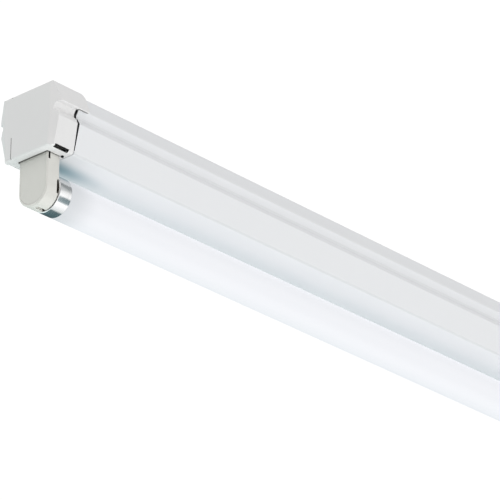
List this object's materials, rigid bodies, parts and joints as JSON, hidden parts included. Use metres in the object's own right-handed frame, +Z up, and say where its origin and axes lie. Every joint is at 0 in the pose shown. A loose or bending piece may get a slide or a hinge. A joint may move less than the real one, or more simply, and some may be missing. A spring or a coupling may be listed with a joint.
{
  "type": "fluorescent batten light",
  "caption": "Slim white steel ceiling batten with moulded ends, rotary lampholders and one straight T8 fluorescent tube slung beneath its clipped cover.",
  "frame": {"origin": "on the ceiling plane, midway between the two fixing slots", "axes": "+X along the lamp, away from the near end; +Y across the light; +Z up into the ceiling"},
  "size_m": [0.626, 0.0548, 0.0786],
  "materials": {
    "painted_steel": "white powder coat, fine orange peel",
    "cap_plastic": "white moulded plastic, satin",
    "holder_plastic": "cream white moulded plastic",
    "rotor_plastic": "white moulded plastic",
    "contact_bronze": "spring bronze",
    "lamp_glass": "opal white from the phosphor coat inside",
    "lamp_cap_metal": "drawn aluminium, bright",
    "lamp_disc_plastic": "dark pressed insulating board",
    "brass": "plain",
    "electrode_metal": "plain",
    "spring_steel": "plain",
    "black_steel": "black oxide",
    "zinc_steel": "zinc plated",
    "board_green": "solder mask",
    "component_black": "moulded",
    "terminal_plastic": "white nylon",
    "grommet_rubber": "matt",
    "wire_white": "insulation",
    "wire_brown": "insulation",
    "wire_blue": "insulation",
    "wire_green": "insulation"
  },
  "bodies": {
    "fixture": {"spine": "painted_steel", "cover": "painted_steel", "end_cap_near": "cap_plastic", "end_cap_far": "cap_plastic", "holder_housing_near": "holder_plastic", "holder_housing_far": "holder_plastic", "holder_back_near": "holder_plastic", "holder_back_far": "holder_plastic", "holder_contacts_near": "contact_bronze", "holder_contacts_far": "contact_bronze", "terminal_inserts": "brass", "cover_clips": "spring_steel", "holder_screws_near": "black_steel", "holder_screws_far": "black_steel", "weld_studs": "zinc_steel", "ballast_base": "zinc_steel", "ballast_lid": "zinc_steel", "ballast_nuts": "zinc_steel", "earth_washer": "zinc_steel", "earth_nut": "zinc_steel", "terminal_screws": "zinc_steel", "earth_tag": "zinc_steel", "ballast_board": "board_green", "ballast_components": "component_black", "ballast_terminals": "terminal_plastic", "terminal_block": "terminal_plastic", "wire_clips": "terminal_plastic", "blanking_plug": "terminal_plastic", "cable_grommet": "grommet_rubber", "lamp_leads_near": "wire_white", "lamp_leads_far": "wire_white", "live_lead": "wire_brown", "neutral_lead": "wire_blue", "earth_lead": "wire_green"},
    "lamp": {"lamp_glass": "lamp_glass", "lamp_cap_near": "lamp_cap_metal", "lamp_cap_far": "lamp_cap_metal", "lamp_disc_near": "lamp_disc_plastic", "lamp_disc_far": "lamp_disc_plastic", "lamp_pins_near": "brass", "lamp_pins_far": "brass", "lamp_electrode_near": "electrode_metal", "lamp_electrode_far": "electrode_metal"},
    "rotor_near": {"holder_rotor_near": "rotor_plastic"},
    "rotor_far": {"holder_rotor_far": "rotor_plastic"}
  },
  "joints": [
    {"name": "lamp_twist", "type": "hinge", "parent": "fixture", "child": "lamp", "pos_m": [0, 0, -0.0656], "axis": [-1, 0, 0], "range_deg": [0, 90]},
    {"name": "rotor_near_turn", "type": "hinge", "parent": "fixture", "child": "rotor_near", "pos_m": [0, 0, -0.0656], "axis": [-1, 0, 0], "range_deg": [0, 90]},
    {"name": "rotor_far_turn", "type": "hinge", "parent": "fixture", "child": "rotor_far", "pos_m": [0, 0, -0.0656], "axis": [-1, 0, 0], "range_deg": [0, 90]}
  ],
  "couplings": [
    {"joint": "rotor_near_turn", "follows": "lamp_twist", "ratio": 1},
    {"joint": "rotor_far_turn", "follows": "lamp_twist", "ratio": 1}
  ]
}
